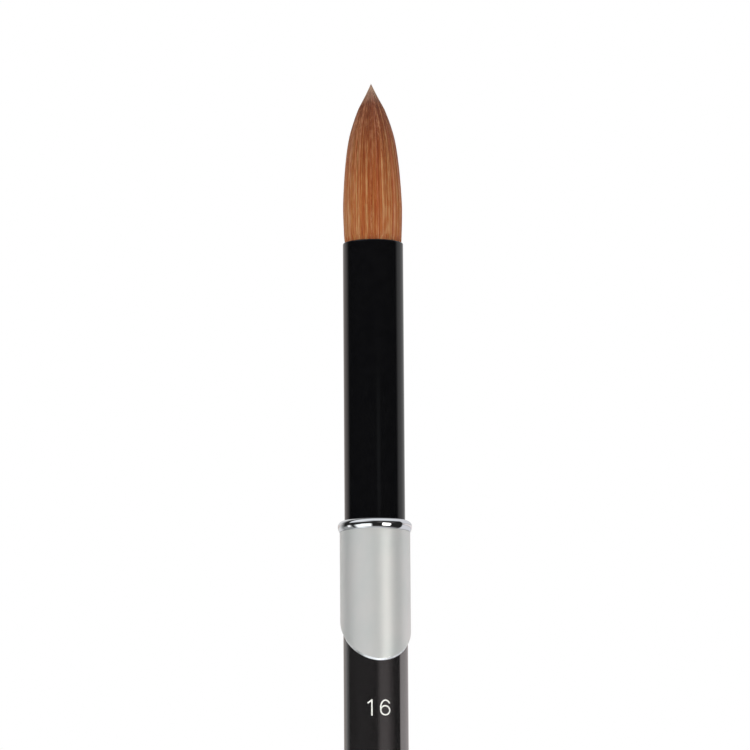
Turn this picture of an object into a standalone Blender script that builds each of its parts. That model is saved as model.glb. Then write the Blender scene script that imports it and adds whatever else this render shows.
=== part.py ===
"""Acrylic nail brush with a head that pulls out of the handle.

Metres, +Z from the butt to the hair's tip. The origin is the centre of the butt's flat face.
The sleeve's slanted cut is lowest at -Y. All pieces are turned about Z with the same number of
segments, so the small gaps between them stay even all the way round.
"""

import math

import bmesh
import bpy

MM = 0.001
SEGMENTS = 40

# Heights above the butt.
TIP_HEIGHT = 180.5 * MM
MOUTH_HEIGHT = 159.2 * MM
BEAD_HEIGHT = 122.0 * MM
SEAT_HEIGHT = 117.0 * MM
SLANT_HEIGHT = 108.46 * MM
SLANT_ANGLE = math.radians(45.0)

# Outer radii of what shows.
HAIR_RADIUS = 3.875 * MM
BARREL_RADIUS = 3.93 * MM
BEAD_RADIUS = 4.815 * MM
SLEEVE_RADIUS = 4.565 * MM
SHELL_RADIUS = 4.17 * MM

# Walls, and the radial gap left between two pieces that are glued or pressed together.
BARREL_WALL = 0.3 * MM
SLEEVE_WALL = 0.35 * MM
SHELL_WALL = 0.45 * MM
GLUE_GAP = 0.04 * MM
END_GAP = 0.05 * MM

# The tuft: its exposed outline is widest at BELLY_SHARE of the way to the tip. From there the taper is
# hollowed a little in its lower part and again at the needle point.
BELLY_SHARE = 0.23
ROOT_NARROWING = 0.04
TAPER_POWER = 2.5
HOLLOW_DEPTH = 0.03
LOWER_HOLLOW_END = 0.55
NEEDLE_START = 0.8
ROOT_LENGTH = 10.0 * MM
WAIST_RADIUS = 3.15 * MM
WAIST_DEPTH = 5.0 * MM
THREAD_TURNS = 4
THREAD_PITCH = 0.5 * MM
THREAD_DEPTH = 8.5 * MM
GLUE_PLUG_LENGTH = 4.0 * MM

# The socket: the plug's nose slides in the liner's bore.
FLANGE_HEIGHT = 0.8 * MM
PLUG_LENGTH = 11.0 * MM
NOSE_RADIUS = 2.6 * MM
NOSE_LENGTH = 14.0 * MM
NOSE_CHAMFER = 0.6 * MM
RING_SECTION_RADIUS = 0.5 * MM
RING_RADIUS = 2.35 * MM
RING_DEPTHS = {"o_ring_upper": 3.5 * MM, "o_ring_lower": 10.5 * MM}
GROOVE_WIDTH = 1.2 * MM
LINER_BORE = 2.9 * MM
LINER_LENGTH = 16.0 * MM
COLLAR_BORE = 3.98 * MM
BEAD_SECTION_RADIUS = 0.65 * MM
BEAD_SPIGOT_LENGTH = 3.2 * MM

CAP_HEIGHT = 3.0 * MM
CAP_PLUG_LENGTH = 7.0 * MM
EDGE = 0.15 * MM


def clear_scene():
    for item in list(bpy.data.objects):
        bpy.data.objects.remove(item, do_unlink=True)


def finish_of(name, colour, metallic, roughness):
    material = bpy.data.materials.new(name)
    material.use_nodes = True
    shader = material.node_tree.nodes["Principled BSDF"]
    shader.inputs["Base Color"].default_value = (*colour, 1.0)
    shader.inputs["Metallic"].default_value = metallic
    shader.inputs["Roughness"].default_value = roughness
    material.diffuse_color = (*colour, 1.0)
    return material


def empty_at(name, height, parent=None):
    empty = bpy.data.objects.new(name, None)
    bpy.context.collection.objects.link(empty)
    empty.location.z = height
    empty.parent = parent
    return empty


def arc(centre_radius, centre_height, radius, start, end, steps):
    """Points of a round stretch, from the start angle to the end angle in degrees, 0 facing outwards."""
    points = []
    for step in range(steps + 1):
        angle = math.radians(start + (end - start) * step / steps)
        points.append(
            (
                centre_radius + radius * math.cos(angle),
                centre_height + radius * math.sin(angle),
            )
        )
    return points


def turned(name, outline, material, parent, height=0.0):
    """A body turned about Z from (radius, height) points. Ends on the axis are closed by the turning."""
    work = bmesh.new()
    corners = [work.verts.new((radius, 0.0, level)) for radius, level in outline]
    open_ended = outline[0][0] == 0.0
    following = corners[1:] if open_ended else corners[1:] + corners[:1]
    edges = [work.edges.new(pair) for pair in zip(corners, following)]
    bmesh.ops.spin(
        work,
        geom=corners + edges,
        axis=(0.0, 0.0, 1.0),
        cent=(0.0, 0.0, 0.0),
        angle=math.tau,
        steps=SEGMENTS,
        use_merge=True,
    )
    bmesh.ops.remove_doubles(work, verts=work.verts, dist=0.0001 * MM)
    bmesh.ops.recalc_face_normals(work, faces=work.faces)
    mesh = bpy.data.meshes.new(name)
    work.to_mesh(mesh)
    work.free()
    mesh.materials.append(material)
    mesh.shade_smooth()
    mesh.set_sharp_from_angle(angle=math.radians(35.0))
    body = bpy.data.objects.new(name, mesh)
    bpy.context.collection.objects.link(body)
    body.parent = parent
    body.location.z = height
    return body


def tuft_ratio(share):
    """The exposed tuft's radius over its widest, share running from 0 at the mouth to 1 at the tip."""
    if share < BELLY_SHARE:
        return 1.0 - ROOT_NARROWING * (1.0 - share / BELLY_SHARE) ** 1.6
    along = (share - BELLY_SHARE) / (1.0 - BELLY_SHARE)
    lower = math.sin(math.pi * min(along / LOWER_HOLLOW_END, 1.0))
    needle = math.sin(math.pi * max(along - NEEDLE_START, 0.0) / (1.0 - NEEDLE_START))
    return 1.0 - along**TAPER_POWER - HOLLOW_DEPTH * (lower + needle)


def hair_tuft(material, head):
    """Heights are from the barrel's mouth: the glued root goes down, the exposed hair goes up."""
    length = TIP_HEIGHT - MOUTH_HEIGHT
    inside = BARREL_RADIUS - BARREL_WALL - GLUE_GAP
    outline = [
        (0.0, -ROOT_LENGTH),
        (WAIST_RADIUS, -ROOT_LENGTH),
        (WAIST_RADIUS, -WAIST_DEPTH),
        (inside, -0.3 * WAIST_DEPTH),
        (inside, 0.0),
    ]
    steps = 16
    for step in range(1, steps):
        share = math.sin(0.5 * math.pi * step / steps) ** 1.2
        outline.append((HAIR_RADIUS * tuft_ratio(share), length * share))
    outline.append((0.0, length))
    return turned("hair_tuft", outline, material, head, MOUTH_HEIGHT - SEAT_HEIGHT)


def root_binding(material, head):
    """Turns of thread round the root's waist, side by side."""
    inner = WAIST_RADIUS + GLUE_GAP
    crest = BARREL_RADIUS - BARREL_WALL - 2.0 * GLUE_GAP
    valley = crest - 0.12 * MM
    outline = [(inner, 0.0), (valley, 0.0)]
    for turn in range(THREAD_TURNS):
        start = turn * THREAD_PITCH
        outline.append((crest, start + 0.3 * THREAD_PITCH))
        outline.append((crest, start + 0.7 * THREAD_PITCH))
        outline.append((valley, start + THREAD_PITCH))
    outline.append((inner, THREAD_TURNS * THREAD_PITCH))
    height = MOUTH_HEIGHT - SEAT_HEIGHT - THREAD_DEPTH
    return turned("root_binding", outline, material, head, height)


def root_adhesive(material, head):
    radius = BARREL_RADIUS - BARREL_WALL - GLUE_GAP
    outline = [
        (0.0, -GLUE_PLUG_LENGTH),
        (0.7 * radius, -GLUE_PLUG_LENGTH + EDGE),
        (radius, -GLUE_PLUG_LENGTH + 4.0 * EDGE),
        (radius, -END_GAP),
        (0.0, -END_GAP),
    ]
    height = MOUTH_HEIGHT - SEAT_HEIGHT - ROOT_LENGTH
    return turned("root_adhesive", outline, material, head, height)


def ferrule_barrel(material, head):
    """A tube from the plug's flange to the mouth, where its outer edge is rounded into a lip."""
    top = MOUTH_HEIGHT - SEAT_HEIGHT
    bottom = FLANGE_HEIGHT + END_GAP
    bore = BARREL_RADIUS - BARREL_WALL
    lip = 0.22 * MM
    outline = [(bore, bottom), (BARREL_RADIUS, bottom)]
    outline += arc(BARREL_RADIUS - lip, top - lip, lip, 0.0, 90.0, 4)
    outline.append((bore, top))
    return turned("ferrule_barrel", outline, material, head)


def barrel_plug(material, head):
    """Heights are from the seat, the flange's underside. The nose below it has a groove for each ring."""
    core = BARREL_RADIUS - BARREL_WALL - GLUE_GAP
    groove_floor = RING_RADIUS - RING_SECTION_RADIUS - 0.03 * MM
    outline = [
        (0.0, PLUG_LENGTH),
        (core - 2.0 * EDGE, PLUG_LENGTH),
        (core, PLUG_LENGTH - 2.0 * EDGE),
        (core, FLANGE_HEIGHT),
        (BARREL_RADIUS, FLANGE_HEIGHT),
        (BARREL_RADIUS, EDGE),
        (BARREL_RADIUS - EDGE, 0.0),
        (NOSE_RADIUS, 0.0),
    ]
    for depth in RING_DEPTHS.values():
        above = -depth + 0.5 * GROOVE_WIDTH
        below = -depth - 0.5 * GROOVE_WIDTH
        outline.append((NOSE_RADIUS, above))
        outline.append((groove_floor, above))
        outline.append((groove_floor, below))
        outline.append((NOSE_RADIUS, below))
    outline.append((NOSE_RADIUS, -NOSE_LENGTH + NOSE_CHAMFER))
    outline.append((NOSE_RADIUS - NOSE_CHAMFER, -NOSE_LENGTH))
    outline.append((0.0, -NOSE_LENGTH))
    return turned("barrel_plug", outline, material, head)


def o_rings(material, head):
    section = arc(RING_RADIUS, 0.0, RING_SECTION_RADIUS, 0.0, 360.0, 8)[:-1]
    return [
        turned(name, section, material, head, -depth)
        for name, depth in RING_DEPTHS.items()
    ]


def collar_bead(material, handle):
    """A half-round ring over a thin spigot that goes down inside the sleeve."""
    spigot = SLEEVE_RADIUS - SLEEVE_WALL - GLUE_GAP
    middle = BEAD_RADIUS - BEAD_SECTION_RADIUS
    round_side = arc(middle, 0.0, BEAD_SECTION_RADIUS, -80.0, 95.0, 10)
    outline = [
        (COLLAR_BORE, -BEAD_SPIGOT_LENGTH),
        (spigot - 0.5 * EDGE, -BEAD_SPIGOT_LENGTH),
        (spigot, -BEAD_SPIGOT_LENGTH + EDGE),
        (spigot, round_side[0][1]),
    ]
    outline += round_side
    outline.append((COLLAR_BORE, BEAD_SECTION_RADIUS - EDGE))
    return turned("collar_bead", outline, material, handle, BEAD_HEIGHT)


def slant_sleeve(material, handle):
    """A tube whose lower end is a plane cut through the axis at SLANT_HEIGHT, lowest at -Y."""
    bore = SLEEVE_RADIUS - SLEEVE_WALL
    top = BEAD_HEIGHT - BEAD_SECTION_RADIUS - END_GAP - SLANT_HEIGHT
    outline = [
        (bore, 0.0),
        (SLEEVE_RADIUS - EDGE, 0.0),
        (SLEEVE_RADIUS, EDGE),
    ]
    outline += arc(SLEEVE_RADIUS - EDGE, top - EDGE, EDGE, 0.0, 90.0, 2)
    outline.append((bore, top))
    sleeve = turned("slant_sleeve", outline, material, handle, SLANT_HEIGHT)
    for vertex in sleeve.data.vertices:
        if vertex.co.z < 2.0 * EDGE:
            vertex.co.z += vertex.co.y * math.tan(SLANT_ANGLE)
    return sleeve


def socket_liner(material, handle):
    """A flange between the shell's end and the plug's flange, and a long skirt inside the shell."""
    flange = SLEEVE_RADIUS - SLEEVE_WALL - GLUE_GAP
    skirt = SHELL_RADIUS - SHELL_WALL - GLUE_GAP
    top = -END_GAP
    under = top - FLANGE_HEIGHT
    lead_in = 0.4 * MM
    outline = [
        (LINER_BORE, -LINER_LENGTH),
        (skirt - 2.0 * EDGE, -LINER_LENGTH),
        (skirt, -LINER_LENGTH + 2.0 * EDGE),
        (skirt, under),
        (flange, under),
        (flange, top),
        (LINER_BORE + lead_in, top),
        (LINER_BORE, top - lead_in),
    ]
    return turned("socket_liner", outline, material, handle, SEAT_HEIGHT)


def handle_shell(material, handle):
    bore = SHELL_RADIUS - SHELL_WALL
    top = SEAT_HEIGHT - FLANGE_HEIGHT - 2.0 * END_GAP
    bottom = CAP_HEIGHT + END_GAP
    outline = [
        (bore, bottom),
        (SHELL_RADIUS - EDGE, bottom),
        (SHELL_RADIUS, bottom + EDGE),
        (SHELL_RADIUS, top),
        (bore, top),
    ]
    return turned("handle_shell", outline, material, handle)


def end_cap(material, handle):
    """A plug with a flange the size of the shell, rounded into the flat butt face."""
    plug = SHELL_RADIUS - SHELL_WALL - GLUE_GAP
    corner = 0.7 * MM
    outline = [(0.0, 0.0)]
    outline += arc(SHELL_RADIUS - corner, corner, corner, -90.0, 0.0, 5)
    outline.append((SHELL_RADIUS, CAP_HEIGHT - EDGE))
    outline.append((SHELL_RADIUS - EDGE, CAP_HEIGHT))
    outline.append((plug, CAP_HEIGHT))
    outline.append((plug, CAP_HEIGHT + CAP_PLUG_LENGTH - 2.0 * EDGE))
    outline.append((plug - 2.0 * EDGE, CAP_HEIGHT + CAP_PLUG_LENGTH))
    outline.append((0.0, CAP_HEIGHT + CAP_PLUG_LENGTH))
    return turned("end_cap", outline, material, handle)


def build():
    clear_scene()
    hair = finish_of("kolinsky_hair", (0.36, 0.13, 0.05), 0.0, 0.5)
    thread = finish_of("binding_thread", (0.75, 0.7, 0.6), 0.0, 0.8)
    adhesive = finish_of("hard_adhesive", (0.55, 0.42, 0.22), 0.0, 0.4)
    black = finish_of("gloss_black_lacquer", (0.004, 0.004, 0.005), 0.0, 0.12)
    plug_metal = finish_of("turned_aluminium", (0.7, 0.7, 0.72), 1.0, 0.3)
    rubber = finish_of("ring_rubber", (0.015, 0.015, 0.015), 0.0, 0.6)
    chrome = finish_of("bright_chrome", (0.8, 0.8, 0.82), 1.0, 0.06)
    satin = finish_of("satin_silver", (0.6, 0.62, 0.62), 1.0, 0.38)
    liner = finish_of("liner_plastic", (0.05, 0.05, 0.055), 0.0, 0.45)
    charcoal = finish_of("charcoal_lacquer", (0.018, 0.016, 0.016), 0.0, 0.2)

    handle = empty_at("handle_axis", 0.0)
    head = empty_at("head_axis", SEAT_HEIGHT, handle)

    hair_tuft(hair, head)
    root_binding(thread, head)
    root_adhesive(adhesive, head)
    ferrule_barrel(black, head)
    barrel_plug(plug_metal, head)
    o_rings(rubber, head)
    collar_bead(chrome, handle)
    slant_sleeve(satin, handle)
    socket_liner(liner, handle)
    handle_shell(charcoal, handle)
    end_cap(satin, handle)


build()
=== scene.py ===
"""The acrylic nail brush as it looks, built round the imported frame.

Metres, +Z from the butt to the hair's tip, the brush's axis on x = y = 0. The handle stands on the
floor. Every turned piece is made from an outline of (radius, height) points.
"""

import math

import bpy
import numpy as np
from mathutils import Matrix, Vector


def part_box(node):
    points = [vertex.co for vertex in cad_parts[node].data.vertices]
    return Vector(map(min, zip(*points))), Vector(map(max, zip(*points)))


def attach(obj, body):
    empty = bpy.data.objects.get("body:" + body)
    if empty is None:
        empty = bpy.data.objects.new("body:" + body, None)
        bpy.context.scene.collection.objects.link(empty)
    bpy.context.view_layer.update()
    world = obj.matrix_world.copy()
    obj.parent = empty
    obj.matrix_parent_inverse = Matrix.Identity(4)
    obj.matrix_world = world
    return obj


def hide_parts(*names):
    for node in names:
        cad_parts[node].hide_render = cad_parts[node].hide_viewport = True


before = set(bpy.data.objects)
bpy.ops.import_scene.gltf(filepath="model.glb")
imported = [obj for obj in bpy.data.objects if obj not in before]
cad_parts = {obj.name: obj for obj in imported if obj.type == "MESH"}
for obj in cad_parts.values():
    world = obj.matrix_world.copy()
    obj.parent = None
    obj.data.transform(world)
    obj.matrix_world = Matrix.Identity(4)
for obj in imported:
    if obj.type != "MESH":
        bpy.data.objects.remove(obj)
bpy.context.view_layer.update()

MM = 0.001
ROUND_STEPS = 160
SLEEVE_STEPS = 240
SHARP_ANGLE = 38.0
ROUND_ANGLE = 180.0
SEED = 16

# Where the straight run beside a rounding gets its support point, in lengths of the rounding.
RUN_START = 1.15

# The view: the camera looks up a little, and the brush leans a little to the left.
VIEW_AZIMUTH = math.radians(-8.5)
VIEW_ELEVATION = math.radians(-9.0)
VIEW_LEAN = math.radians(0.4)
VIEW_DISTANCE = 0.85
VIEW_HEIGHT = 141.89 * MM
VIEW_WIDTH = 97.5 * MM
VIEW_ASIDE = 0.15 * MM
SENSOR_WIDTH = 36.0

# Sizes read from the frame, and the ones that its boxes don't show.
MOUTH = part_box("ferrule_barrel")[1].z
BARREL_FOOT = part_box("ferrule_barrel")[0].z
BARREL_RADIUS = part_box("ferrule_barrel")[1].x
BARREL_WALL = 0.3 * MM
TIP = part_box("hair_tuft")[1].z
HAIR_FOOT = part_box("hair_tuft")[0].z
BEAD_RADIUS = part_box("collar_bead")[1].x
BEAD_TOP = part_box("collar_bead")[1].z
BEAD_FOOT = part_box("collar_bead")[0].z
BEAD_SECTION = 0.65 * MM
BEAD_MIDDLE = BEAD_TOP - BEAD_SECTION
BEAD_DROOP = 1.55
BEAD_ARC_START = -47.0
BEAD_ARC_END = 100.0
BEAD_REST = BEAD_MIDDLE + BEAD_DROOP * BEAD_SECTION * math.sin(math.radians(BEAD_ARC_START))
COLLAR_BORE = 3.98 * MM
SLEEVE_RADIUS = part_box("slant_sleeve")[1].x
SLEEVE_WALL = 0.35 * MM
SLEEVE_TOP = BEAD_REST - 0.01 * MM
BEVEL_WIDTH = 0.2 * MM
BEVEL_HEIGHT = 0.45 * MM
BEVEL_DROP = 0.13 * MM
SLANT_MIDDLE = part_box("slant_sleeve")[0].z + SLEEVE_RADIUS - BEVEL_DROP
SHELL_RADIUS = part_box("handle_shell")[1].x
SHELL_WALL = 0.45 * MM
SHELL_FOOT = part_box("handle_shell")[0].z
SHELL_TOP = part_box("handle_shell")[1].z
NOSE_RADIUS = 2.6 * MM
NOSE_LENGTH = 14.0 * MM
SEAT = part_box("barrel_plug")[0].z + NOSE_LENGTH
LINER_BORE = 2.9 * MM
GLUE_GAP = 0.04 * MM
END_GAP = 0.05 * MM


# ---------------------------------------------------------------- camera, light, floor


def direction(azimuth, elevation):
    """The unit vector from the brush towards a place at this azimuth, 0 being -Y, and elevation."""
    return Vector(
        (
            math.sin(azimuth) * math.cos(elevation),
            -math.cos(azimuth) * math.cos(elevation),
            math.sin(elevation),
        )
    )


def make_camera():
    data = bpy.data.cameras.new("photo_camera")
    data.sensor_width = SENSOR_WIDTH
    data.lens = SENSOR_WIDTH * VIEW_DISTANCE / VIEW_WIDTH
    data.clip_start = 0.05
    data.clip_end = 50.0
    camera = bpy.data.objects.new("photo_camera", data)
    bpy.context.scene.collection.objects.link(camera)
    back = direction(VIEW_AZIMUTH, VIEW_ELEVATION)
    right = Vector((math.cos(VIEW_AZIMUTH), math.sin(VIEW_AZIMUTH), 0.0))
    aim = Vector((0.0, 0.0, VIEW_HEIGHT)) + right * VIEW_ASIDE
    upright = (-back).to_track_quat("-Z", "Y")
    camera.rotation_mode = "QUATERNION"
    camera.rotation_quaternion = upright @ Matrix.Rotation(-VIEW_LEAN, 3, "Z").to_quaternion()
    camera.location = aim + back * VIEW_DISTANCE
    bpy.context.scene.camera = camera


class Nodes:
    """Short calls that add nodes to a tree and give their outputs."""

    def __init__(self, tree):
        self.tree = tree

    def feed(self, source, target):
        """Joins an output to an input, or sets the input to a plain value."""
        if isinstance(source, bpy.types.NodeSocket):
            self.tree.links.new(source, target)
        else:
            target.default_value = source

    def number(self, operation, first, second=0.0):
        node = self.tree.nodes.new("ShaderNodeMath")
        node.operation = operation
        self.feed(first, node.inputs[0])
        self.feed(second, node.inputs[1])
        return node.outputs[0]

    def dot(self, vector, constant):
        node = self.tree.nodes.new("ShaderNodeVectorMath")
        node.operation = "DOT_PRODUCT"
        self.feed(vector, node.inputs[0])
        self.feed(constant, node.inputs[1])
        return node.outputs["Value"]

    def span(self, value, low, high, to_low=0.0, to_high=1.0, smooth=False):
        node = self.tree.nodes.new("ShaderNodeMapRange")
        node.interpolation_type = "SMOOTHSTEP" if smooth else "LINEAR"
        node.inputs["From Min"].default_value = low
        node.inputs["From Max"].default_value = high
        node.inputs["To Min"].default_value = to_low
        node.inputs["To Max"].default_value = to_high
        self.feed(value, node.inputs["Value"])
        return node.outputs["Result"]

    def ramp(self, value, *stops):
        """A colour ramp with (position, colour) stops."""
        node = self.tree.nodes.new("ShaderNodeValToRGB")
        elements = node.color_ramp.elements
        while len(elements) < len(stops):
            elements.new(0.5)
        for element, (position, colour) in zip(elements, stops):
            element.position = position
            element.color = (*colour, 1.0)
        self.feed(value, node.inputs["Fac"])
        return node.outputs["Color"]

    def mixed(self, share, first, second, blend="MIX"):
        """The first colour at share 0, the second at share 1, or the two multiplied."""
        node = self.tree.nodes.new("ShaderNodeMix")
        node.data_type = "RGBA"
        node.blend_type = blend
        self.feed(share, node.inputs["Factor"])
        self.feed(first, node.inputs["A"])
        self.feed(second, node.inputs["B"])
        return node.outputs["Result"]

    def noise(self, place, detail=2.0):
        node = self.tree.nodes.new("ShaderNodeTexNoise")
        node.inputs["Scale"].default_value = 1.0
        node.inputs["Detail"].default_value = detail
        self.feed(place, node.inputs["Vector"])
        return node.outputs["Fac"]


# Brightness round the brush, by bearing in degrees from the camera's direction, right positive.
SURROUNDINGS = (
    (-180.0, 0.76),
    (-140.0, 0.70),
    (-122.0, 0.27),
    (-107.0, 0.02),
    (95.0, 0.02),
    (107.0, 0.52),
    (150.0, 0.56),
    (180.0, 0.76),
)

# Soft boxes: the bearings and then the elevations, in degrees, where each starts, is full, starts to fade
# and ends, and its radiance. Later ones are laid over earlier ones.
SOFT_BOXES = {
    "ceiling": ((-90.0, -84.0, 100.0, 135.0), (24.0, 42.0, 100.0, 101.0), (0.74, 0.76, 0.79)),
    "ceiling_left": ((-90.0, -85.0, -50.0, 0.0), (10.5, 19.0, 100.0, 101.0), (0.80, 0.82, 0.85)),
    "ground": ((-201.0, -200.0, 200.0, 201.0), (-101.0, -100.0, -60.0, -30.0), (0.75, 0.75, 0.76)),
    "under": ((-201.0, -200.0, 200.0, 201.0), (-101.0, -100.0, -68.0, -58.0), (1.4, 1.45, 1.5)),
    "left_low": ((-128.0, -112.0, -84.0, -74.0), (-101.0, -100.0, -13.0, -5.0), (0.31, 0.32, 0.32)),
    "left_lowest": ((-170.0, -150.0, -50.0, -20.0), (-101.0, -100.0, -46.0, -38.0), (0.9, 0.93, 0.96)),
    "left_spot": ((-98.0, -93.0, -88.0, -80.0), (-23.0, -16.0, -9.0, -3.0), (1.15, 1.15, 1.15)),
    "left": ((-74.0, -56.0, -17.0, -6.0), (-45.0, -33.0, -14.0, -6.0), (1.3, 1.35, 1.35)),
    "left_upper": ((-50.0, -40.0, -18.0, -7.0), (-28.0, -20.0, -10.0, -4.0), (1.3, 1.35, 1.35)),
    "right": ((22.5, 26.5, 46.0, 53.0), (-26.0, -18.0, -8.0, -1.0), (9.2, 9.1, 8.7)),
    "right_end_high": ((93.0, 97.0, 150.0, 175.0), (11.0, 15.0, 50.0, 70.0), (0.68, 0.68, 0.71)),
    "right_end_low": ((93.0, 97.0, 150.0, 175.0), (-70.0, -50.0, -4.0, 1.0), (0.68, 0.68, 0.71)),
    "right_band": ((0.0, 20.0, 34.0, 76.0), (1.0, 3.0, 6.9, 7.3), (0.228, 0.205, 0.205)),
    "right_edge": ((94.0, 98.0, 170.0, 185.0), (1.0, 3.0, 6.9, 7.4), (0.83, 0.765, 0.765)),
    "left_rim": ((-201.0, -200.0, -130.0, -106.0), (7.4, 7.8, 9.8, 10.6), (0.66, 0.60, 0.58)),
    "left_edge": ((-201.0, -200.0, -147.0, -122.0), (1.0, 3.0, 6.9, 7.4), (0.61, 0.555, 0.53)),
    "thin_strip": ((6.5, 13.5, 19.0, 26.5), (7.0, 8.6, 8.7, 8.82), (0.15, 0.16, 0.165)),
}


def make_world():
    """The studio, painted by direction: a white backdrop, dark in front, with soft boxes low on both
    sides and a pale ceiling. What the camera sees directly is plain white."""
    world = bpy.data.worlds.new("studio")
    bpy.context.scene.world = world
    world.use_nodes = True
    world.node_tree.nodes.clear()
    nodes = Nodes(world.node_tree)
    tree = nodes.tree
    seen = tree.nodes.new("ShaderNodeTexCoord").outputs["Generated"]
    ahead = nodes.dot(seen, direction(VIEW_AZIMUTH, 0.0))
    aside = nodes.dot(seen, Vector((math.cos(VIEW_AZIMUTH), math.sin(VIEW_AZIMUTH), 0.0)))
    upward = nodes.dot(seen, (0.0, 0.0, 1.0))
    bearing = nodes.number("MULTIPLY", nodes.number("ARCTAN2", aside, ahead), math.degrees(1.0))
    elevation = nodes.number("MULTIPLY", nodes.number("ARCSINE", upward), math.degrees(1.0))
    stops = [((degrees + 180.0) / 360.0, grey(value)) for degrees, value in SURROUNDINGS]
    colour = nodes.ramp(nodes.span(bearing, -180.0, 180.0), *stops)
    for bearings, elevations, radiance in SOFT_BOXES.values():
        inside = 1.0
        for value, (start, full, fade, end) in ((bearing, bearings), (elevation, elevations)):
            inside = nodes.number("MULTIPLY", inside, nodes.span(value, start, full, smooth=True))
            fading = nodes.span(value, fade, end, 1.0, 0.0, smooth=True)
            inside = nodes.number("MULTIPLY", inside, fading)
        colour = nodes.mixed(inside, colour, (*radiance, 1.0))
    surroundings = tree.nodes.new("ShaderNodeBackground")
    nodes.feed(colour, surroundings.inputs["Color"])
    plain = tree.nodes.new("ShaderNodeBackground")
    plain.inputs["Color"].default_value = (1.0, 1.0, 1.0, 1.0)
    chosen = tree.nodes.new("ShaderNodeMixShader")
    nodes.feed(tree.nodes.new("ShaderNodeLightPath").outputs["Is Camera Ray"], chosen.inputs["Fac"])
    nodes.feed(surroundings.outputs[0], chosen.inputs[1])
    nodes.feed(plain.outputs[0], chosen.inputs[2])
    nodes.feed(chosen.outputs[0], tree.nodes.new("ShaderNodeOutputWorld").inputs["Surface"])


def fill_light(name, azimuth, elevation, width, strength, colour):
    """A far soft light, so many degrees wide, that doesn't show in the glossy pieces and lights the floor
    evenly. The strength is the brightness that it alone gives a white card that faces it."""
    data = bpy.data.lights.new(name, "SUN")
    data.angle = math.radians(width)
    data.energy = math.pi * strength
    data.color = colour
    lamp = bpy.data.objects.new(name, data)
    bpy.context.scene.collection.objects.link(lamp)
    out = direction(VIEW_AZIMUTH + math.radians(azimuth), math.radians(elevation))
    lamp.rotation_mode = "QUATERNION"
    lamp.rotation_quaternion = out.to_track_quat("Z", "Y")
    lamp.visible_camera = False
    lamp.visible_glossy = False


def make_fill_lights():
    fill_light("left_fill", -72.0, 12.0, 35.0, 0.175, (0.95, 1.0, 0.98))
    fill_light("front_fill", -10.0, 14.0, 35.0, 0.385, (1.0, 0.99, 0.97))
    fill_light("ceiling_fill", 20.0, 75.0, 48.0, 0.305, (1.0, 1.0, 1.0))


def make_floor():
    """The floor is left out of reflections, as if the brush hung clear of it."""
    half = 12.0
    mesh = bpy.data.meshes.new("floor")
    corners = [(-half, -half, 0.0), (half, -half, 0.0), (half, half, 0.0), (-half, half, 0.0)]
    mesh.from_pydata(corners, [], [(0, 1, 2, 3)])
    floor = bpy.data.objects.new("floor", mesh)
    bpy.context.scene.collection.objects.link(floor)
    pale = bpy.data.materials.new("pale_floor")
    pale.use_nodes = True
    shader = pale.node_tree.nodes["Principled BSDF"]
    shader.inputs["Base Color"].default_value = (0.9, 0.9, 0.9, 1.0)
    shader.inputs["Roughness"].default_value = 0.9
    mesh.materials.append(pale)
    floor.visible_glossy = False
    floor.visible_shadow = False


# ---------------------------------------------------------------- shapes


def softened(corners, steps=6):
    """(radius, height) points from (radius, height, rounding) corners, each rounding made a curve. A point
    on the straight run just past each end of a curve keeps the run's shading flat."""
    points = []
    for index, (radius, height, rounding) in enumerate(corners):
        here = Vector((radius, height))
        if rounding == 0.0:
            points.append((radius, height))
            continue
        before = corners[index - 1]
        after = corners[(index + 1) % len(corners)]
        back = (Vector(before[:2]) - here).normalized() * rounding
        ahead = (Vector(after[:2]) - here).normalized() * rounding
        points.append(tuple(here + back * RUN_START))
        for step in range(steps + 1):
            share = step / steps
            points.append(tuple(here + back * (1.0 - share) ** 2 + ahead * share**2))
        points.append(tuple(here + ahead * RUN_START))
    return points


def arc(centre_radius, centre_height, radius, start, end, steps):
    """Points of a round stretch, from the start angle to the end angle in degrees, 0 facing outwards."""
    points = []
    for step in range(steps + 1):
        angle = math.radians(start + (end - start) * step / steps)
        points.append(
            (
                centre_radius + radius * math.cos(angle),
                centre_height + radius * math.sin(angle),
            )
        )
    return points


def piece_from(name, vertices, faces, finishes, smooth=True):
    mesh = bpy.data.meshes.new(name)
    mesh.from_pydata(vertices, [], faces)
    mesh.validate()
    for finish in finishes:
        mesh.materials.append(finish)
    if smooth:
        mesh.shade_smooth()
    piece = bpy.data.objects.new(name, mesh)
    bpy.context.scene.collection.objects.link(piece)
    return piece


def turned(name, outline, finish, steps=ROUND_STEPS, sharp=SHARP_ANGLE):
    """A closed body of revolution. The outline runs counter-clockwise, radius to the right, and either
    closes on itself or starts and ends on the axis."""
    vertices = []
    rings = []
    for radius, height in outline:
        if radius < 1e-9:
            rings.append([len(vertices)] * steps)
            vertices.append((0.0, 0.0, height))
            continue
        rings.append(list(range(len(vertices), len(vertices) + steps)))
        for step in range(steps):
            angle = math.tau * step / steps
            vertices.append((radius * math.cos(angle), radius * math.sin(angle), height))
    faces = []
    closing = 1 if outline[0][0] > 1e-9 else 0
    for index in range(len(outline) - 1 + closing):
        lower = rings[index]
        upper = rings[(index + 1) % len(outline)]
        for step in range(steps):
            after = (step + 1) % steps
            corner = (lower[step], lower[after], upper[after], upper[step])
            faces.append(tuple(dict.fromkeys(corner)))
    piece = piece_from(name, vertices, faces, [finish])
    piece.data.set_sharp_from_angle(angle=math.radians(sharp))
    return piece


def settle(piece, body, slot, *nodes):
    """The piece moves with the body and stands for the CAD nodes. Its slot is not used."""
    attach(piece, body)
    if nodes:
        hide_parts(*nodes)
    return piece


# ---------------------------------------------------------------- materials


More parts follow.
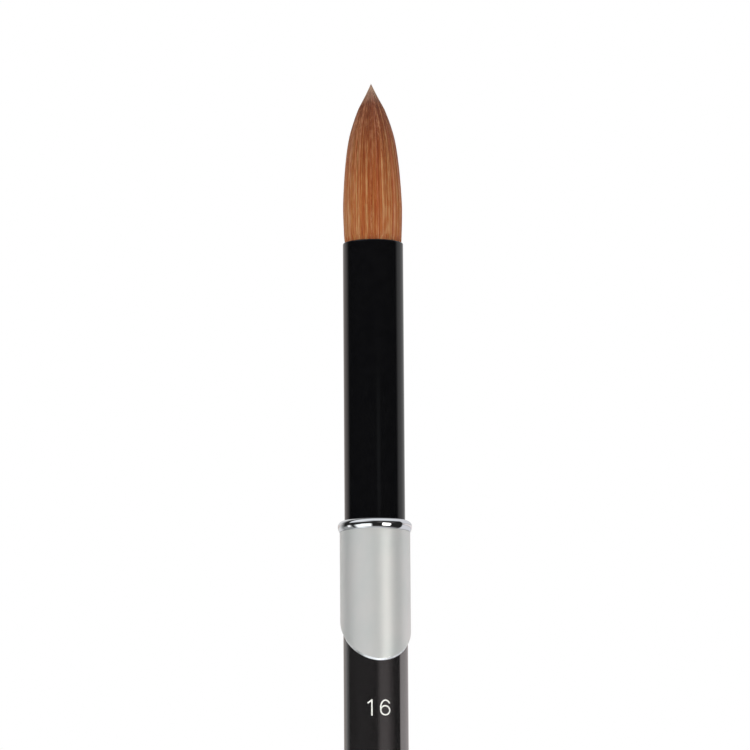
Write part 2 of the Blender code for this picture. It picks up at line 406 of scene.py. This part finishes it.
class Finish(Nodes):
    """A Principled material with short calls for what feeds it."""

    def __init__(self, name, colour, roughness, metallic=0.0, **sockets):
        self.material = bpy.data.materials.new(name)
        self.material.use_nodes = True
        super().__init__(self.material.node_tree)
        self.shader = self.tree.nodes["Principled BSDF"]
        self.feed((*colour, 1.0), self.shader.inputs["Base Color"])
        self.feed(roughness, self.shader.inputs["Roughness"])
        self.feed(metallic, self.shader.inputs["Metallic"])
        for socket, value in sockets.items():
            self.feed(value, self.shader.inputs[socket.replace("_", " ")])
        self.place = self.tree.nodes.new("ShaderNodeTexCoord").outputs["Object"]

    def join(self, source, socket):
        self.feed(source, self.shader.inputs[socket])

    def kept(self, name):
        """A value kept with the mesh's points."""
        node = self.tree.nodes.new("ShaderNodeAttribute")
        node.attribute_name = name
        return node.outputs["Fac"]

    def scaled(self, x, y, z):
        node = self.tree.nodes.new("ShaderNodeMapping")
        node.inputs["Scale"].default_value = (x, y, z)
        self.feed(self.place, node.inputs["Vector"])
        return node.outputs["Vector"]

    def bump(self, height, distance):
        node = self.tree.nodes.new("ShaderNodeBump")
        node.inputs["Distance"].default_value = distance
        self.feed(height, node.inputs["Height"])
        self.join(node.outputs["Normal"], "Normal")


def grey(value):
    return (value, value, value)


def gloss_black():
    """Lacquer over metal: nearly black, with a faint cloud and smears that change its gloss."""
    finish = Finish("gloss_black_lacquer", (0.0022, 0.0022, 0.0026), 0.06, Specular_IOR_Level=0.5)
    cloud = finish.noise(finish.scaled(900.0, 900.0, 900.0), detail=2.0)
    colour = finish.ramp(cloud, (0.3, (0.0018, 0.0018, 0.0022)), (0.7, (0.0026, 0.0026, 0.003)))
    finish.join(colour, "Base Color")
    smears = finish.noise(finish.scaled(700.0, 700.0, 160.0), detail=3.0)
    finish.join(finish.span(smears, 0.3, 0.7, 0.045, 0.08), "Roughness")
    return finish.material


def charcoal():
    finish = Finish("charcoal_lacquer", (0.011, 0.010, 0.010), 0.1, IOR=2.0, Specular_IOR_Level=1.0)
    grain = finish.noise(finish.scaled(2600.0, 2600.0, 2600.0), detail=3.0)
    colour = finish.ramp(grain, (0.3, (0.0068, 0.0062, 0.0063)), (0.7, (0.0125, 0.0112, 0.0113)))
    finish.join(colour, "Base Color")
    smears = finish.noise(finish.scaled(500.0, 500.0, 110.0), detail=3.0)
    finish.join(finish.span(smears, 0.3, 0.7, 0.08, 0.14), "Roughness")
    return finish.material


def chrome():
    finish = Finish("bright_chrome", (0.86, 0.87, 0.89), 0.04, metallic=1.0)
    smears = finish.noise(finish.scaled(900.0, 900.0, 900.0), detail=3.0)
    finish.join(finish.span(smears, 0.3, 0.7, 0.03, 0.07), "Roughness")
    return finish.material


def satin_silver():
    """Blasted and clear-anodised aluminium: an even fine grain that scatters about half of the light."""
    finish = Finish("satin_silver", (0.69, 0.69, 0.68), 0.38, metallic=0.6, Specular_IOR_Level=0.5)
    grain = finish.noise(finish.scaled(9000.0, 9000.0, 9000.0), detail=3.0)
    finish.join(finish.span(grain, 0.3, 0.7, 0.36, 0.45), "Roughness")
    cloud = finish.noise(finish.scaled(380.0, 380.0, 220.0), detail=2.0)
    colour = finish.ramp(cloud, (0.3, (0.665, 0.68, 0.665)), (0.7, (0.715, 0.705, 0.69)))
    finish.join(colour, "Base Color")
    finish.bump(grain, 0.003 * MM)
    return finish.material


def bright_cut():
    finish = Finish("bright_cut_edge", (0.93, 0.94, 0.95), 0.28, metallic=1.0)
    lines = finish.noise(finish.scaled(3000.0, 3000.0, 3000.0), detail=2.0)
    finish.join(finish.span(lines, 0.3, 0.7, 0.24, 0.33), "Roughness")
    return finish.material


def turned_metal():
    finish = Finish("turned_aluminium", (0.72, 0.72, 0.74), 0.28, metallic=1.0)
    rings = finish.noise(finish.scaled(60.0, 60.0, 16000.0), detail=2.0)
    finish.join(finish.span(rings, 0.3, 0.7, 0.2, 0.38), "Roughness")
    finish.bump(rings, 0.004 * MM)
    return finish.material


def ring_rubber():
    finish = Finish("ring_rubber", (0.012, 0.012, 0.013), 0.55)
    grain = finish.noise(finish.scaled(5000.0, 5000.0, 5000.0), detail=3.0)
    finish.join(finish.span(grain, 0.3, 0.7, 0.45, 0.65), "Roughness")
    finish.bump(grain, 0.006 * MM)
    return finish.material


def liner_plastic():
    finish = Finish("liner_plastic", (0.045, 0.045, 0.048), 0.42)
    grain = finish.noise(finish.scaled(2600.0, 2600.0, 2600.0), detail=3.0)
    finish.join(finish.span(grain, 0.3, 0.7, 0.36, 0.5), "Roughness")
    finish.bump(grain, 0.004 * MM)
    return finish.material


def print_white():
    finish = Finish("print_white", (0.78, 0.78, 0.74), 0.45)
    grain = finish.noise(finish.scaled(6000.0, 6000.0, 6000.0), detail=2.0)
    colour = finish.ramp(grain, (0.3, (0.72, 0.72, 0.67)), (0.7, (0.84, 0.84, 0.79)))
    finish.join(colour, "Base Color")
    return finish.material


def kolinsky_hair():
    """Orange-brown hair, darker and redder at the shoulder. Greyish towards the tip: painted light,
    standing in for the white backdrop seen through the fine tips and the light scattered in them. Each
    hair's tone is kept with its points, from 0, deep red-brown, to 1, pale straw: the hair's own colour,
    which varies from hair to hair, with painted sheen, a whitish gloss, in the paler tones, and painted
    shade in the darker core and in the deeper hairs. Its warmth is kept too, from 0, ochre, to 1, pinkish."""
    finish = Finish("kolinsky_hair", (0.36, 0.13, 0.05), 0.45, Specular_IOR_Level=0.4)
    along = finish.noise(finish.scaled(3200.0, 3200.0, 620.0), detail=2.0)
    shift = finish.span(along, 0.25, 0.75, -0.2, 0.2)
    tone = finish.number("ADD", finish.kept("tone"), shift)
    # The paler tones are partly painted sheen: a whitish gloss laid into the colour.
    belly = finish.ramp(
        tone, (0.0, (0.252, 0.043, 0.006)), (0.5, (0.352, 0.104, 0.023)), (1.0, (0.50, 0.30, 0.135))
    )
    shoulder = finish.ramp(
        tone, (0.0, (0.037, 0.0031, 0.0006)), (0.5, (0.114, 0.0225, 0.0042)), (1.0, (0.40, 0.19, 0.105))
    )
    # Painted light at the tip: grey for the backdrop seen through the fine tips and the light scattered in
    # them.
    tip_painted_scatter = finish.ramp(
        tone, (0.0, (0.19, 0.105, 0.066)), (0.5, (0.34, 0.215, 0.15)), (1.0, (0.57, 0.43, 0.345))
    )
    height = finish.dot(finish.place, (0.0, 0.0, 1.0))
    share = finish.span(height, MOUTH, TIP)
    rising = finish.span(share, 0.16, 1.06, smooth=True)
    tip_painted_share = finish.span(share, 0.84, 1.0, smooth=True)
    colour = finish.mixed(tip_painted_share, finish.mixed(rising, belly, shoulder), tip_painted_scatter)
    cast = finish.ramp(finish.kept("warmth"), (0.0, (0.94, 1.0, 0.82)), (1.0, (1.0, 0.86, 0.98)))
    finish.join(finish.mixed(1.0, colour, cast, "MULTIPLY"), "Base Color")
    finish.join(finish.span(along, 0.3, 0.7, 0.38, 0.52), "Roughness")
    return finish.material


def waxed_thread():
    finish = Finish("waxed_thread", (0.72, 0.66, 0.52), 0.6)
    turns = finish.noise(finish.scaled(900.0, 900.0, 9000.0), detail=3.0)
    finish.join(finish.ramp(turns, (0.3, (0.6, 0.53, 0.4)), (0.7, (0.8, 0.75, 0.62))), "Base Color")
    finish.join(finish.span(turns, 0.3, 0.7, 0.5, 0.7), "Roughness")
    finish.bump(turns, 0.02 * MM)
    return finish.material


def amber_glue():
    finish = Finish("amber_glue", (0.5, 0.36, 0.17), 0.2)
    cloud = finish.noise(finish.scaled(900.0, 900.0, 900.0), detail=3.0)
    finish.join(finish.ramp(cloud, (0.3, (0.4, 0.27, 0.11)), (0.7, (0.58, 0.44, 0.22))), "Base Color")
    finish.join(finish.span(cloud, 0.3, 0.7, 0.14, 0.3), "Roughness")
    return finish.material


# ---------------------------------------------------------------- the hair


# The exposed tuft's shape, as in the frame: widest at BELLY_SHARE of the way from mouth to tip, then
# hollowed a little in the lower part of the taper and again at the needle point.
HAIR_RADIUS = 3.875 * MM
BELLY_SHARE = 0.23
ROOT_NARROWING = 0.04
TAPER_POWER = 2.5
HOLLOW_DEPTH = 0.03
LOWER_HOLLOW_END = 0.55
NEEDLE_START = 0.8
WAIST_RADIUS = 3.15 * MM

# The tip leans a little to the camera's left.
TIP_SHIFT = -0.11 * MM

# Groups of hairs that stand out, and two broad bands of painted light that pale the tuft's left flank:
# bearing and half width in degrees, how much paler or, below 0, redder they are, and the shares of the
# tuft's length between which they show.
TRESSES_AND_PAINTED_LIGHT = (
    (-12.2, 1.0, 0.45, 0.05, 0.50),
    (21.2, 1.0, 0.40, 0.02, 0.45),
    (50.0, 1.8, 0.45, 0.05, 0.42),
    (-52.0, 1.6, 0.35, 0.00, 0.15),
    (-64.0, 2.0, 0.30, 0.00, 0.20),
    (74.0, 2.0, 0.30, 0.10, 0.35),
    (-17.0, 2.0, -0.38, 0.05, 0.60),
    (9.0, 2.2, -0.28, 0.15, 0.45),
    (-1.0, 3.0, -0.15, 0.30, 0.80),
    (30.0, 4.0, -0.12, 0.35, 0.80),
    (-23.3, 2.2, -0.40, 0.00, 0.90),
    (15.5, 2.0, -0.32, 0.00, 0.60),
    (-61.0, 1.6, -0.42, 0.00, 0.55),
    (-48.3, 1.2, -0.25, 0.00, 0.50),
    (-77.0, 2.2, -0.25, 0.00, 0.45),
    # Painted light: these two broad bands pale the left flank, where the light falls more strongly.
    (-50.0, 12.0, 0.10, 0.10, 0.60),
    (-68.0, 12.0, 0.14, 0.00, 0.80),
)

STRANDS = 1500
STRAND_PIECES = 2
STRAND_ROWS = 26
STRAND_SIDES = 4
STRAND_START = -0.045
STRAND_SHORTEST = 0.70
STRAND_HALF_WIDTHS = (0.038 * MM, 0.066 * MM)
LAYER_DEPTH = 0.20 * MM
HAIR_GAP = 0.06 * MM
DRIFT = math.radians(2.0)
WAVE = math.radians(0.25)
OWN_TONE_SPREAD = 0.16
CLUMPS = 54
CLUMP_PULL = 0.45
CLUMP_TONE_SPREAD = 0.07

# The core: points round it, rows up the exposed part, how deep under the outline its grain lies in
# millimetres, the shares at which it closes, and the narrow root that is bound with thread.
CORE_AROUND = 540
CORE_ROWS = 44
CORE_DEPTH = 0.13
CORE_GRAIN = 0.10
CORE_LAST_ROW = 0.985
CORE_POINT = 0.99
WAIST_LENGTH = 5.0 * MM
ROOT_DEPTH = 1.5 * MM


def tuft_radius(share):
    """The exposed tuft's outer radius, share running from 0 at the mouth to 1 at the tip. Just over the
    mouth the hair swells out of the barrel's bore. Works on arrays."""
    share = np.clip(share, 0.0, 1.0)
    root = 1.0 - ROOT_NARROWING * np.clip(1.0 - share / BELLY_SHARE, 0.0, 1.0) ** 1.6
    along = np.clip((share - BELLY_SHARE) / (1.0 - BELLY_SHARE), 0.0, 1.0)
    lower = np.sin(math.pi * np.minimum(along / LOWER_HOLLOW_END, 1.0))
    needle = np.sin(math.pi * np.maximum(along - NEEDLE_START, 0.0) / (1.0 - NEEDLE_START))
    return HAIR_RADIUS * (root - along**TAPER_POWER - HOLLOW_DEPTH * (lower + needle))


def bore_limit(share):
    """The radius that hair keeps within: the barrel's bore up to the mouth, free above it."""
    bore = BARREL_RADIUS - BARREL_WALL - HAIR_GAP
    return bore + np.clip(share / 0.012, 0.0, 30.0) ** 1.5 * 0.12 * MM


def tress_and_painted_light_tone(azimuth, share):
    """How much paler, or redder if negative, the hair is there because of the tresses and of the painted
    light on the left flank.
    """
    bearing = np.degrees(azimuth - VIEW_AZIMUTH)
    bearing = (bearing + 180.0) % 360.0 - 180.0
    total = np.zeros(np.broadcast(azimuth, share).shape)
    for middle, half_width, strength, low, high in TRESSES_AND_PAINTED_LIGHT:
        across = np.exp(-(((bearing - middle) / half_width) ** 2))
        rising = np.clip((share - low + 0.06) / 0.06, 0.0, 1.0)
        falling = np.clip((high + 0.12 - share) / 0.12, 0.0, 1.0)
        total += strength * across * rising * falling
    return total


def hair_piece(name, vertices, faces, tones, warmths, finish):
    """A smooth piece from arrays of points and faces, with a tone and a warmth kept at each point."""
    mesh = bpy.data.meshes.new(name)
    mesh.from_pydata(vertices.tolist(), [], faces)
    mesh.materials.append(finish)
    mesh.shade_smooth()
    for attribute, values in (("tone", tones), ("warmth", warmths)):
        kept = mesh.attributes.new(attribute, "FLOAT", "POINT")
        kept.data.foreach_set("value", np.clip(values, 0.0, 1.0).astype(np.float32).ravel())
    piece = bpy.data.objects.new(name, mesh)
    bpy.context.scene.collection.objects.link(piece)
    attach(piece, "head")
    return piece


def shifted(points, share):
    """Moves points aside by the tip's lean, which grows with the share."""
    lean = TIP_SHIFT * np.clip(share, 0.0, 1.0) ** 1.2
    points[..., 0] += lean * math.cos(VIEW_AZIMUTH)
    points[..., 1] += lean * math.sin(VIEW_AZIMUTH)
    return points


def make_hair_core(finish, draws):
    """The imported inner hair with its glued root: a closed body with a fine upright grain."""
    around = CORE_AROUND
    azimuth = np.linspace(0.0, math.tau, around, endpoint=False)
    grain = draws.random(around)
    grain = 0.6 * grain + 0.4 * np.roll(grain, 1)
    length = TIP - MOUTH
    exposed = np.sin(0.5 * math.pi * np.linspace(0.0, 1.0, CORE_ROWS)) ** 1.1 * CORE_LAST_ROW
    root = (np.array([HAIR_FOOT, HAIR_FOOT + WAIST_LENGTH, MOUTH - ROOT_DEPTH]) - MOUTH) / length
    share = np.concatenate([root, exposed])[:, None]
    outer = np.minimum(tuft_radius(share), bore_limit(share))
    outer[:2] = WAIST_RADIUS
    depth = (CORE_DEPTH + CORE_GRAIN * grain[None, :]) * MM
    radius = np.maximum(outer - depth * np.clip(outer / HAIR_RADIUS, 0.15, 1.0), 0.02 * MM)
    rows = len(share)
    points = np.empty((rows, around, 3))
    points[..., 0] = radius * np.sin(azimuth)
    points[..., 1] = -radius * np.cos(azimuth)
    points[..., 2] = MOUTH + share * length
    points = shifted(points, share)
    # Painted shade: the core's hair is a little darker than the strands', 0.42 against 0.5, for the shade
    # in the gaps between strands.
    tones = 0.42 - 0.3 * (grain[None, :] - 0.5) + tress_and_painted_light_tone(azimuth[None, :], share)
    ends = np.array([[0.0, 0.0, HAIR_FOOT], [0.0, 0.0, MOUTH + CORE_POINT * length]])
    ends = shifted(ends, np.array([0.0, CORE_POINT]))
    vertices = np.concatenate([points.reshape(-1, 3), ends])
    tones = np.concatenate([tones.ravel(), [0.5, 0.5]])
    faces = []
    for row in range(rows - 1):
        for step in range(around):
            after = (step + 1) % around
            low = row * around
            faces.append((low + step, low + after, low + around + after, low + around + step))
    foot = rows * around
    top = (rows - 1) * around
    for step in range(around):
        after = (step + 1) % around
        faces.append((foot, after, step))
        faces.append((foot + 1, top + step, top + after))
    core = hair_piece("hair_core", vertices, faces, tones, np.full(len(tones), 0.5), finish)
    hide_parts("hair_tuft")


def make_strands(finish, draws):
    """Single hairs over the core, in layers. They gather into clumps and thin out towards the tip."""
    count = STRANDS
    home = math.tau * (np.arange(count) + draws.random(count)) / count
    home = draws.permutation(home)
    layer = draws.random(count) ** 1.8
    end = 1.0 - (1.0 - STRAND_SHORTEST) * draws.random(count) ** 2.4
    thin, thick = STRAND_HALF_WIDTHS
    own_half = thin + (thick - thin) * draws.random(count)
    clump_home = math.tau * (np.arange(CLUMPS) + 0.7 * draws.random(CLUMPS)) / CLUMPS
    clump_tone = draws.normal(0.0, CLUMP_TONE_SPREAD, CLUMPS)
    nearest = np.abs((home[:, None] - clump_home[None, :] + math.pi) % math.tau - math.pi)
    clump = np.argmin(nearest, axis=1)
    pull = (clump_home[clump] - home + math.pi) % math.tau - math.pi
    drift = draws.normal(0.0, DRIFT, count)
    wave = draws.normal(0.0, WAVE, count)
    phase = math.tau * draws.random(count)
    own_tone = 0.5 + clump_tone[clump] + draws.normal(0.0, OWN_TONE_SPREAD, count)
    own_warmth = draws.random(count)

    run = np.linspace(0.0, 1.0, STRAND_ROWS)[None, :]
    share = STRAND_START + run * (end[:, None] - STRAND_START)
    upper = np.clip(share, 0.0, 1.0)
    azimuth = home[:, None] + drift[:, None] * upper + CLUMP_PULL * pull[:, None] * upper**1.5
    azimuth = azimuth + wave[:, None] * np.sin(9.0 * upper + phase[:, None])
    outer = np.minimum(tuft_radius(share), bore_limit(share))
    shrink = np.clip(outer / HAIR_RADIUS, 0.0, 1.0)
    ending = 1.0 - np.clip((run - 0.8) / 0.2, 0.0, 1.0) ** 2 * 0.85
    half = own_half[:, None] * (0.35 + 0.65 * shrink) * ending
    radius = outer - half - LAYER_DEPTH * layer[:, None] * shrink
    radius = np.maximum(radius, 0.0)
    tones = 0.5 + (own_tone[:, None] - 0.5) * (1.35 - 0.35 * upper)
    # Painted shade: hairs that lie deeper, under others, are made darker.
    tones = tones - 0.18 * layer[:, None] + tress_and_painted_light_tone(azimuth, share)

    turn = math.tau * (np.arange(STRAND_SIDES) + 0.5) / STRAND_SIDES
    out = radius[..., None] + half[..., None] * np.cos(turn)
    side = half[..., None] * np.sin(turn)
    sine = np.sin(azimuth)[..., None]
    cosine = np.cos(azimuth)[..., None]
    points = np.empty((count, STRAND_ROWS, STRAND_SIDES, 3))
    points[..., 0] = out * sine + side * cosine
    points[..., 1] = -out * cosine + side * sine
    points[..., 2] = (MOUTH + share * (TIP - MOUTH))[..., None]
    points = shifted(points, share[..., None])
    tones = np.repeat(tones[..., None], STRAND_SIDES, axis=2)
    warmths = np.broadcast_to(own_warmth[:, None, None], tones.shape)

    each = STRAND_ROWS * STRAND_SIDES
    pattern = []
    for row in range(STRAND_ROWS - 1):
        for step in range(STRAND_SIDES):
            after = (step + 1) % STRAND_SIDES
            low = row * STRAND_SIDES
            high = low + STRAND_SIDES
            pattern.append((low + step, low + after, high + after, high + step))
    pattern.append(tuple(reversed(range(STRAND_SIDES))))
    pattern.append(tuple(range(each - STRAND_SIDES, each)))
    pattern = np.array(pattern)
    piece_count = count // STRAND_PIECES
    for part in range(STRAND_PIECES):
        chosen = slice(part * piece_count, (part + 1) * piece_count)
        offsets = np.arange(piece_count) * each
        faces = (pattern[None] + offsets[:, None, None]).reshape(-1, STRAND_SIDES)
        hair_piece(
            f"hair_strands_{part + 1}",
            points[chosen].reshape(-1, 3),
            faces.tolist(),
            tones[chosen],
            warmths[chosen],
            finish,
        )


def make_hair(finish):
    draws = np.random.default_rng(SEED)
    make_hair_core(finish, draws)
    make_strands(finish, draws)


# ---------------------------------------------------------------- the head's hard pieces


def make_barrel(finish):
    """The black tube, its outer edge well rounded at the mouth."""
    bore = BARREL_RADIUS - BARREL_WALL
    corners = [
        (BARREL_RADIUS, BARREL_FOOT, 0.08 * MM),
        (BARREL_RADIUS, MOUTH, 0.15 * MM),
        (bore, MOUTH, 0.03 * MM),
        (bore, BARREL_FOOT, 0.04 * MM),
    ]
    barrel = turned("ferrule_barrel_fine", softened(corners), finish)
    return settle(barrel, "head", "barrel", "ferrule_barrel")


def make_plug(finish):
    """Flange, nose and ring grooves show when the head is out."""
    core = BARREL_RADIUS - BARREL_WALL - GLUE_GAP
    low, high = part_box("barrel_plug")
    groove = 1.82 * MM
    chamfer = 0.6 * MM
    soft = 0.06 * MM
    corners = [
        (0.0, low.z, 0.0),
        (NOSE_RADIUS - chamfer, low.z, 0.15 * MM),
        (NOSE_RADIUS, low.z + chamfer, 0.15 * MM),
    ]
    for node in ("o_ring_lower", "o_ring_upper"):
        ring_low, ring_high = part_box(node)
        bottom = ring_low.z - 0.1 * MM
        top = ring_high.z + 0.1 * MM
        corners += [(NOSE_RADIUS, bottom, soft), (groove, bottom, soft)]
        corners += [(groove, top, soft), (NOSE_RADIUS, top, soft)]
    corners += [
        (NOSE_RADIUS, SEAT, soft),
        (BARREL_RADIUS, SEAT, 0.15 * MM),
        (BARREL_RADIUS, BARREL_FOOT - END_GAP, soft),
        (core, BARREL_FOOT - END_GAP, 0.0),
        (core, high.z, 0.3 * MM),
        (0.0, high.z, 0.0),
    ]
    plug = turned("barrel_plug_fine", softened(corners), finish)
    return settle(plug, "head", "plug", "barrel_plug")


def make_rings(finish):
    for node in ("o_ring_upper", "o_ring_lower"):
        low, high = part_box(node)
        section = 0.5 * (high.z - low.z)
        outline = arc(high.x - section, low.z + section, section, 0.0, 360.0, 24)[:-1]
        ring = turned(node + "_fine", outline, finish, sharp=ROUND_ANGLE)
        settle(ring, "head", "rubber", node)


# ---------------------------------------------------------------- the handle's pieces


def make_bead(finish):
    """The lower half of the ring's section is drawn down and rests on the sleeve."""
    spigot = SLEEVE_RADIUS - SLEEVE_WALL - GLUE_GAP
    middle = BEAD_RADIUS - BEAD_SECTION
    outline = arc(middle, BEAD_MIDDLE, BEAD_SECTION, BEAD_ARC_START, BEAD_ARC_END, 40)
    outline = [
        (radius, BEAD_MIDDLE + (height - BEAD_MIDDLE) * (BEAD_DROOP if height < BEAD_MIDDLE else 1.0))
        for radius, height in outline
    ]
    outline += [(COLLAR_BORE, BEAD_MIDDLE + 0.5 * MM), (COLLAR_BORE, BEAD_FOOT)]
    outline += [(spigot - 0.08 * MM, BEAD_FOOT), (spigot, BEAD_FOOT + 0.15 * MM)]
    outline += [(spigot, outline[0][1])]
    bead = turned("collar_bead_fine", outline, finish)
    return settle(bead, "handle", "chrome", "collar_bead")


def make_sleeve(satin, bright):
    """The sleeve is turned with its foot at height 0, and then its lower rings are let down to a plane cut
    at 45 degrees, lowest at -Y. The cut face and the bevel round its outer edge are polished."""
    bore = SLEEVE_RADIUS - SLEEVE_WALL
    soft = 0.04 * MM
    corners = [
        (bore, 0.0, 0.02 * MM),
        (SLEEVE_RADIUS - BEVEL_WIDTH, 0.0, soft),
        (SLEEVE_RADIUS, BEVEL_HEIGHT, soft),
        (SLEEVE_RADIUS, SLEEVE_TOP - SLANT_MIDDLE, 0.08 * MM),
        (bore, SLEEVE_TOP - SLANT_MIDDLE, 0.02 * MM),
    ]
    sleeve = turned("slant_sleeve_fine", softened(corners, 8), satin, steps=SLEEVE_STEPS)
    sleeve.data.materials.append(bright)
    heights = {vertex.index: vertex.co.z for vertex in sleeve.data.vertices}
    for face in sleeve.data.polygons:
        if all(heights[index] < BEVEL_HEIGHT + 0.5 * soft for index in face.vertices):
            face.material_index = 1
    for vertex in sleeve.data.vertices:
        if vertex.co.z < BEVEL_HEIGHT + 2.0 * soft:
            vertex.co.z += vertex.co.y
        vertex.co.z += SLANT_MIDDLE
    return settle(sleeve, "handle", "satin", "slant_sleeve")


def make_shell(finish):
    bore = SHELL_RADIUS - SHELL_WALL
    corners = [
        (SHELL_RADIUS, SHELL_FOOT, 0.12 * MM),
        (SHELL_RADIUS, SHELL_TOP, 0.05 * MM),
        (bore, SHELL_TOP, 0.05 * MM),
        (bore, SHELL_FOOT, 0.05 * MM),
    ]
    shell = turned("handle_shell_fine", softened(corners), finish)
    return settle(shell, "handle", "shell", "handle_shell")


def make_liner(finish):
    """The socket that the plug's nose slides in. Its flange lies on the shell's end."""
    low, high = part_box("socket_liner")
    skirt = SHELL_RADIUS - SHELL_WALL - GLUE_GAP
    under = high.z - 0.8 * MM
    corners = [
        (LINER_BORE, low.z, 0.05 * MM),
        (skirt, low.z, 0.3 * MM),
        (skirt, under, 0.0),
        (high.x, under, 0.05 * MM),
        (high.x, high.z, 0.05 * MM),
        (LINER_BORE, high.z, 0.4 * MM),
    ]
    liner = turned("socket_liner_fine", softened(corners), finish)
    return settle(liner, "handle", "liner", "socket_liner")


def make_end_cap(finish):
    low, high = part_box("end_cap")
    plug = SHELL_RADIUS - SHELL_WALL - GLUE_GAP
    shoulder = SHELL_FOOT - END_GAP
    corners = [
        (0.0, low.z, 0.0),
        (SHELL_RADIUS, low.z, 0.7 * MM),
        (SHELL_RADIUS, shoulder, 0.12 * MM),
        (plug, shoulder, 0.0),
        (plug, high.z, 0.3 * MM),
        (0.0, high.z, 0.0),
    ]
    cap = turned("end_cap_fine", softened(corners), finish)
    return settle(cap, "handle", "satin", "end_cap")


# ---------------------------------------------------------------- the size number


# The print's middle, to the right of the camera's direction, and its strokes' width.
NUMBER_HEIGHT = 98.05 * MM
NUMBER_AZIMUTH = VIEW_AZIMUTH + math.radians(4.9)
STROKE_WIDTH = 0.17 * MM
PRINT_RAISED = 0.012 * MM
PRINT_SUNK = 0.01 * MM


def round_stroke(across, up, half_width, half_height, start, end):
    """Points of a stretch of an ellipse, from the start angle to the end angle in degrees."""
    steps = round(abs(end - start) / 6.0)
    angles = [math.radians(start + (end - start) * step / steps) for step in range(steps + 1)]
    return [(across + half_width * math.cos(a), up + half_height * math.sin(a)) for a in angles]


def straight_stroke(start, end, steps=8):
    start = Vector(start)
    end = Vector(end)
    return [tuple(start.lerp(end, step / steps)) for step in range(steps + 1)]


def number_strokes():
    """The size, 16, as lines in millimetres from the print's middle, across and up."""
    return [
        straight_stroke((-0.90, -1.05), (-0.90, 1.04)),
        straight_stroke((-1.45, 0.57), (-0.92, 0.94)),
        round_stroke(0.88, 0.0, 0.65, 0.95, 34.0, 180.0) + [(0.23, -0.18), (0.235, -0.36)],
        round_stroke(0.835, -0.36, 0.60, 0.58, -180.0, 180.0),
    ]


def make_number(finish):
    """Each stroke is a thin closed strip laid round the shell. Later strokes stand a hair prouder."""
    vertices = []
    faces = []
    for index, line in enumerate(number_strokes()):
        points = [Vector(point) * MM for point in line]
        first = len(vertices)
        top = SHELL_RADIUS + PRINT_RAISED * (1.0 + 0.1 * index)
        bottom = SHELL_RADIUS - PRINT_SUNK
        for place, point in enumerate(points):
            before = points[max(place - 1, 0)]
            after = points[min(place + 1, len(points) - 1)]
            run = (after - before).normalized()
            aside = Vector((-run.y, run.x)) * 0.5 * STROKE_WIDTH
            for edge, radius in ((aside, bottom), (-aside, bottom), (-aside, top), (aside, top)):
                across, up = point + edge
                azimuth = NUMBER_AZIMUTH + across / SHELL_RADIUS
                out = direction(azimuth, 0.0) * radius
                vertices.append((out.x, out.y, NUMBER_HEIGHT + up))
        last = len(vertices) - 4
        for low in range(first, last, 4):
            for corner in range(4):
                after = (corner + 1) % 4
                faces.append((low + corner, low + after, low + 4 + after, low + 4 + corner))
        faces.append((first + 3, first + 2, first + 1, first))
        faces.append((last, last + 1, last + 2, last + 3))
    number = piece_from("size_number", vertices, faces, [finish], smooth=False)
    return settle(number, "handle", "shell")


# ---------------------------------------------------------------- run


make_camera()
make_world()
make_fill_lights()
make_floor()

silver = satin_silver()
make_hair(kolinsky_hair())
make_barrel(gloss_black())
make_plug(turned_metal())
make_rings(ring_rubber())
make_bead(chrome())
make_sleeve(silver, bright_cut())
make_shell(charcoal())
make_liner(liner_plastic())
make_end_cap(silver)
make_number(print_white())

for node, finish in (("root_binding", waxed_thread()), ("root_adhesive", amber_glue())):
    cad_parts[node].material_slots[0].material = finish

bpy.context.scene.view_settings.view_transform = "Standard"
